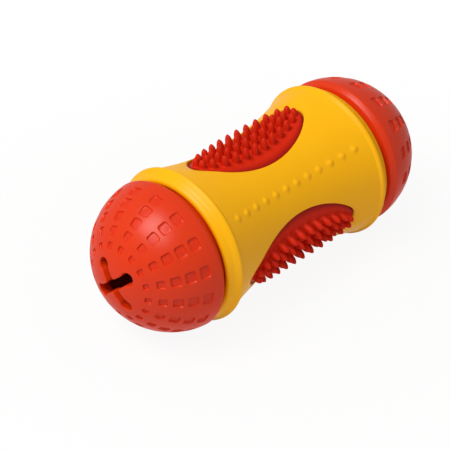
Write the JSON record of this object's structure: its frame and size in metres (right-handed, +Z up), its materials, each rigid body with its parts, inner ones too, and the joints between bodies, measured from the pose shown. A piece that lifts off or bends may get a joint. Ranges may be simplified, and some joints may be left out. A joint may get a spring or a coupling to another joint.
{
  "type": "treat dispensing dog toy",
  "caption": "Rolling dog toy: an hourglass sleeve with spiked chewing pads in oval windows and pull-off domes with crossed slits that let treats out.",
  "frame": {"origin": "middle of the toy, on its long axis", "axes": "+X along the axis towards the rear dome, +Z up with the toy lying on its two rims, rolled so that the first pad faces up"},
  "size_m": [0.1648, 0.0688, 0.0688],
  "materials": {
    "sleeve_rubber": "satin",
    "tube_plastic": "satin",
    "pad_rubber": "satin",
    "dome_rubber": "satin"
  },
  "bodies": {
    "sleeve": {"barrel_sleeve": "sleeve_rubber", "treat_tube": "tube_plastic", "spiked_pad_1": "pad_rubber", "spiked_pad_2": "pad_rubber", "spiked_pad_3": "pad_rubber"},
    "front_dome": {"front_dome": "dome_rubber"},
    "rear_dome": {"rear_dome": "dome_rubber"}
  },
  "joints": [
    {"name": "front_dome_pull", "type": "slide", "parent": "sleeve", "child": "front_dome", "axis": [-1, 0, 0], "range_m": [0, 0.04]},
    {"name": "rear_dome_pull", "type": "slide", "parent": "sleeve", "child": "rear_dome", "axis": [1, 0, 0], "range_m": [0, 0.04]}
  ]
}
